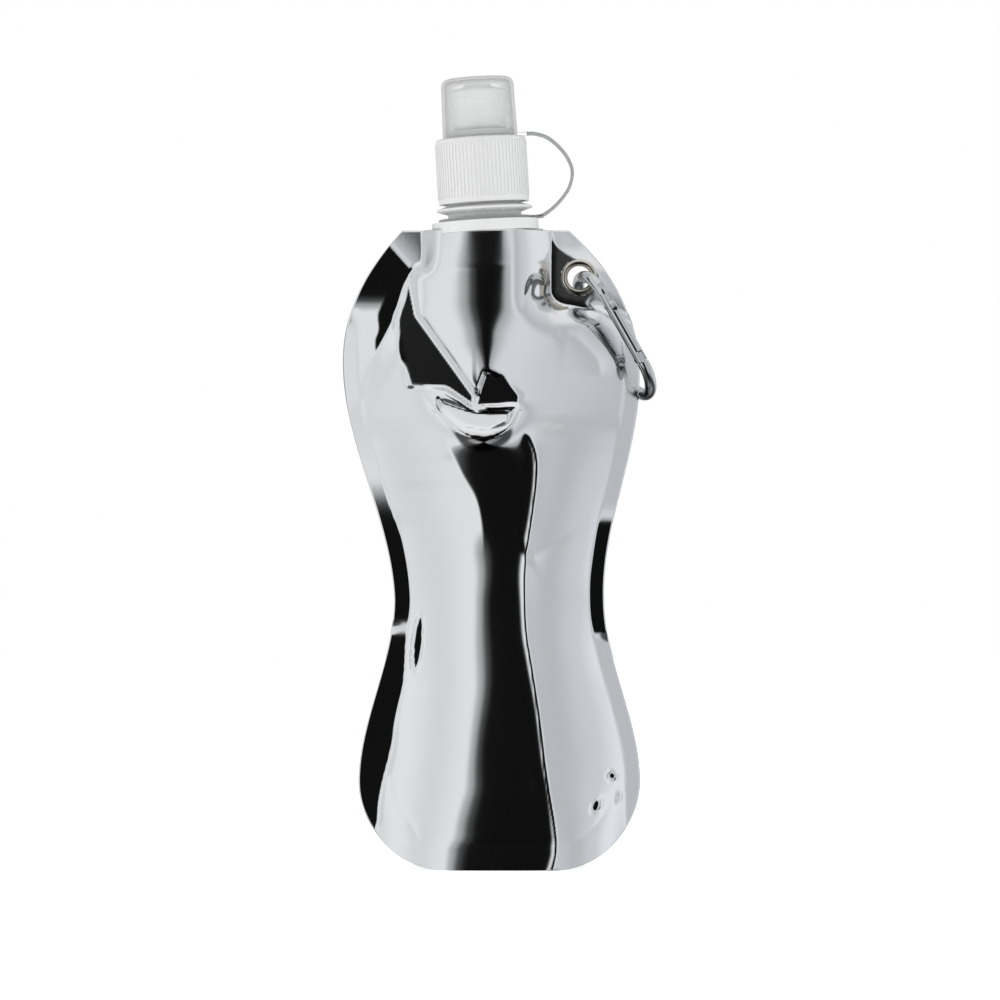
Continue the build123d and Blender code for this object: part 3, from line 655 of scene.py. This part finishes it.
natural = textured("natural_polyethylene", (0.80, 0.805, 0.79), (0.72, 0.73, 0.715), 300, (0.2, 0.32))
grey = textured("grey_polyethylene", (0.34, 0.35, 0.35), (0.40, 0.41, 0.41), 400, (0.36, 0.5))
finish_nodes(natural, "spout")
finish_nodes(grey, "tether_ring")

# ---------------------------------------------------------------- tether strap
# A moulded strap joins the ring on the neck to the dust cover, so that the cover can't be lost. It stands off
# the cap as a round loop, built in three stretches that meet at set heights.
STRAP_W, STRAP_T = 3.6, 1.1
RING_Z, COVER_Z = 14.75, 42.65
STRAP_MID_LOW, STRAP_MID_HIGH = RING_Z + STRAP_T / 2, COVER_Z + STRAP_T / 2
STRAP_JOINS = (23.0, 29.0)  # heights where the strap's three stretches meet
spout_place = Matrix.Translation((NECK_SHIFT * MM, 0, SPOUT_Z * MM)) @ Matrix.Rotation(-SPOUT_LEAN, 4, "Y")
strap_points = [(17.4, STRAP_MID_LOW), (19.6, 15.7), (22.4, 17.4), (25.7, 20.3), (28.7, 24.2), (30.1, 28.8),
                (29.5, 32.6), (27.1, 36.9), (22.8, 41.2), (18.6, 42.9), (15.6, STRAP_MID_HIGH)]
strap_route = smooth_line(strap_points, 100)
STRAP_SECTION = [(-1, -0.4), (-0.86, -1), (0.86, -1), (1, -0.4), (1, 0.4), (0.86, 1), (-0.86, 1), (-1, 0.4)]


def strap_stretch(name, route):
    """A stretch of the strap: its flat section with rounded edges, carried along the route."""
    bm = bmesh.new()
    rings = []
    for i, (r, s) in enumerate(route):
        before, after = route[max(i - 1, 0)], route[min(i + 1, len(route) - 1)]
        slope = Vector((after[0] - before[0], after[1] - before[1])).normalized()
        outward = Vector((slope.y, 0, -slope.x))
        ring = []
        for u, v in STRAP_SECTION:
            place = Vector((r, 0, s)) + Vector((0, u * STRAP_W / 2, 0)) + outward * (v * STRAP_T / 2)
            ring.append(bm.verts.new(spout_place @ (place * MM)))
        rings.append([bm.edges.new((a, b)) for a, b in zip(ring, ring[1:] + ring[:1])])
    for low_ring, high_ring in zip(rings, rings[1:]):
        bmesh.ops.bridge_loops(bm, edges=low_ring + high_ring)
    bmesh.ops.holes_fill(bm, edges=bm.edges[:], sides=8)
    bmesh.ops.recalc_face_normals(bm, faces=bm.faces)
    for f in bm.faces:
        f.smooth = len(f.verts) == 4
    return made_from(bm, name)


lower_join = int(np.argmin(np.abs(strap_route[:, 1] - STRAP_JOINS[0])))
upper_join = int(np.argmin(np.abs(strap_route[:, 1] - STRAP_JOINS[1])))
strap_low = strap_stretch("strap_low", strap_route[: lower_join + 1])
strap_middle = strap_stretch("strap_middle", strap_route[lower_join : upper_join + 1])
strap_high = strap_stretch("strap_high", strap_route[upper_join:])
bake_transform(strap_low)
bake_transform(strap_middle)
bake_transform(strap_high)
for piece in (strap_low, strap_middle, strap_high):
    piece.data.materials.append(grey)
    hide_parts("tether_strap")

# ---------------------------------------------------------------- screw cap, liner and seal
# The cap is moulded in white polypropylene with fine grip ribs. A foam liner seals it on the neck,
# and a silicone ring seals the post that the nozzle slides on.
white = textured("white_polypropylene", (0.80, 0.80, 0.79), (0.74, 0.74, 0.73), 500, (0.3, 0.42), 0.01)
foam = textured("liner_foam", (0.84, 0.83, 0.80), (0.72, 0.71, 0.68), 1500, (0.8, 0.95), 0.1)
silicone = textured("seal_silicone", (0.74, 0.74, 0.71), (0.66, 0.66, 0.63), 600, (0.35, 0.5))
finish_nodes(white, "screw_cap")
finish_nodes(foam, "cap_liner")
finish_nodes(silicone, "nozzle_seal")

# ---------------------------------------------------------------- nozzle and dust cover
# The nozzle is soft polyethylene and slides up its post to open. The dust cover is a thin grey cap
# that lets the nozzle show through.
soft = textured("soft_polyethylene", (0.92, 0.92, 0.91), (0.86, 0.86, 0.85), 350, (0.32, 0.45))
smoked = textured("smoked_polypropylene", (0.46, 0.47, 0.47), (0.41, 0.42, 0.42), 250, (0.14, 0.22), 0.01)
wall_angle = smoked.node_tree.nodes.new("ShaderNodeLayerWeight")
wall_angle.inputs["Blend"].default_value = 0.45
clearness = smoked.node_tree.nodes.new("ShaderNodeMapRange")
clearness.inputs["To Min"].default_value = 0.01
clearness.inputs["To Max"].default_value = 0.6
smoked.node_tree.links.new(wall_angle.outputs["Facing"], clearness.inputs["Value"])
smoked.node_tree.links.new(clearness.outputs[0], smoked.node_tree.nodes["Principled BSDF"].inputs["Alpha"])
finish_nodes(soft, "nozzle")
finish_nodes(smoked, "dust_cover")

# ---------------------------------------------------------------- eyelet
# A two-part eyelet of nickel-plated brass is set through both panels of the right ear: a tube with a
# rolled bead in front, and a washer behind it.
nickel = textured("eyelet_nickel", (0.72, 0.68, 0.60), (0.62, 0.57, 0.49), 700, (0.14, 0.26), Metallic=1.0)
finish_nodes(nickel, "eyelet_barrel", "eyelet_washer")

# ---------------------------------------------------------------- snap hook
# A bent-wire spring hook in polished plated steel. Its gate turns on a pin through the hook's flattened
# end, and a coil spring and plunger inside the gate push it shut on the catch.
chrome = textured("hook_chrome", (0.70, 0.71, 0.72), (0.62, 0.63, 0.64), 500, (0.07, 0.16), 0.01,
                  Metallic=1.0)
steel = textured("pin_steel", (0.58, 0.58, 0.58), (0.50, 0.50, 0.50), 800, (0.2, 0.35), Metallic=1.0)
finish_nodes(chrome, "carabiner_body", "carabiner_gate")
finish_nodes(steel, "gate_hinge_pin", "gate_catch_pin", "gate_plunger", "gate_spring")
